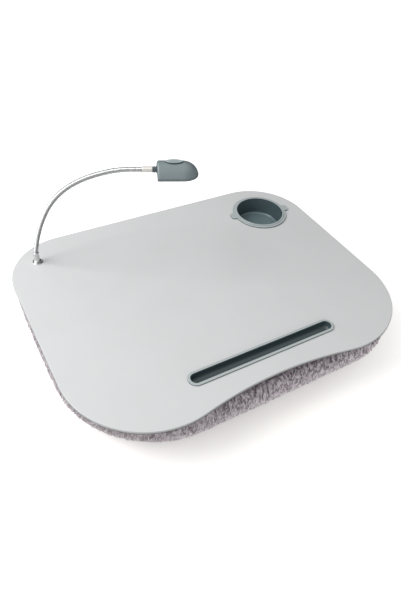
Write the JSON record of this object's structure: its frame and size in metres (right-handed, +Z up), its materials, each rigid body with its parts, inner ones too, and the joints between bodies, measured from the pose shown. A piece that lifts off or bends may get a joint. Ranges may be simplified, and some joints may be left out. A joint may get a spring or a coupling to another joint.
{
  "type": "lap tray with cushion",
  "caption": "Lap tray: rounded board on a fleece bead cushion, with a lift-out cup holder, a long trough and a gooseneck reading lamp with a push button.",
  "frame": {"origin": "on the floor under the middle of the whole object's plan", "axes": "+X to the user's right along the board's width, +Y to the back edge, +Z up"},
  "size_m": [0.4992, 0.3881, 0.2356],
  "materials": {
    "lacquered_board": "satin lacquer on fibreboard",
    "insert_plastic": "moulded, semi-gloss",
    "fleece": "knitted fleece with a short pile",
    "backing_cloth": "plain non-woven cloth",
    "beads": "foam beads",
    "chrome": "polished plating",
    "steel": "zinc plated",
    "boot_rubber": "matt",
    "head_plastic": "moulded, semi-gloss",
    "tray_plastic": "moulded, semi-gloss",
    "button_plastic": "moulded, satin",
    "lens": "clear",
    "reflector": "metallised",
    "lights": "clear epoxy",
    "circuit": "solder mask",
    "switch": "moulded",
    "contact": "sprung strip"
  },
  "bodies": {
    "tray": {"tray_board": "lacquered_board", "trough_insert": "insert_plastic", "cushion_cover": "fleece", "cushion_backing": "backing_cloth", "bead_filling": "beads", "lamp_collar": "chrome", "lamp_ferrule": "chrome", "lamp_washer": "steel", "lamp_nut": "steel"},
    "cup": {"cup_insert": "insert_plastic"},
    "neck_1": {"neck_link_1": "chrome"},
    "neck_2": {"neck_link_2": "chrome"},
    "neck_3": {"neck_link_3": "chrome"},
    "neck_4": {"neck_link_4": "chrome"},
    "neck_5": {"neck_link_5": "chrome"},
    "neck_6": {"neck_link_6": "chrome"},
    "neck_7": {"neck_link_7": "chrome"},
    "lamp_head": {"neck_link_8": "chrome", "neck_end_ferrule": "chrome", "neck_boot": "boot_rubber", "head_shell": "head_plastic", "head_tray": "tray_plastic", "head_lens": "lens", "reflector": "reflector", "light_group": "lights", "circuit_board": "circuit", "switch_body": "switch", "coin_cells": "steel", "cell_contact": "contact", "battery_hatch": "tray_plastic", "lock_nut": "steel", "shell_screws": "steel"},
    "button": {"push_button": "button_plastic", "switch_plunger": "switch"}
  },
  "joints": [
    {"name": "neck_bend_1", "type": "hinge", "parent": "tray", "child": "neck_1", "pos_m": [-0.2037, 0.1484, 0.0895], "axis": [0.3827, 0.9239, 0], "range_deg": [-15, 7]},
    {"name": "neck_sweep_1", "type": "hinge", "parent": "neck_1", "child": "neck_2", "pos_m": [-0.19749, 0.14583, 0.11709], "axis": [0.8849, -0.3665, -0.2874], "range_deg": [-12, 12]},
    {"name": "neck_bend_2", "type": "hinge", "parent": "neck_2", "child": "neck_3", "pos_m": [-0.18864, 0.14216, 0.14383], "axis": [0.3827, 0.9239, 0], "range_deg": [-15, 7]},
    {"name": "neck_sweep_2", "type": "hinge", "parent": "neck_3", "child": "neck_4", "pos_m": [-0.17644, 0.13711, 0.16897], "axis": [0.7641, -0.3165, -0.5621], "range_deg": [-12, 12]},
    {"name": "neck_bend_3", "type": "hinge", "parent": "neck_4", "child": "neck_5", "pos_m": [-0.15934, 0.13002, 0.19051], "axis": [0.3827, 0.9239, 0], "range_deg": [-15, 7]},
    {"name": "neck_sweep_3", "type": "hinge", "parent": "neck_5", "child": "neck_6", "pos_m": [-0.1374, 0.12094, 0.2061], "axis": [0.4237, -0.1755, -0.8886], "range_deg": [-12, 12]},
    {"name": "neck_bend_4", "type": "hinge", "parent": "neck_6", "child": "neck_7", "pos_m": [-0.11296, 0.11081, 0.21641], "axis": [0.3827, 0.9239, 0], "range_deg": [-15, 7]},
    {"name": "neck_sweep_4", "type": "hinge", "parent": "neck_7", "child": "lamp_head", "pos_m": [-0.08732, 0.1002, 0.22246], "axis": [0.099, -0.041, -0.9942], "range_deg": [-12, 12]},
    {"name": "button_press", "type": "slide", "parent": "lamp_head", "child": "button", "axis": [0, 0, 1], "range_m": [-0.001, 0], "stiffness_N_per_m": 1500, "springref_m": 0.0005},
    {"name": "cup_lift", "type": "slide", "parent": "tray", "child": "cup", "axis": [0, 0, 1], "range_m": [0, 0.045]}
  ],
  "couplings": [
    {"joint": "neck_bend_2", "follows": "neck_bend_1", "ratio": 1},
    {"joint": "neck_bend_3", "follows": "neck_bend_1", "ratio": 1},
    {"joint": "neck_bend_4", "follows": "neck_bend_1", "ratio": 1},
    {"joint": "neck_sweep_1", "follows": "neck_sweep_4", "ratio": 1},
    {"joint": "neck_sweep_2", "follows": "neck_sweep_4", "ratio": 1},
    {"joint": "neck_sweep_3", "follows": "neck_sweep_4", "ratio": 1}
  ]
}
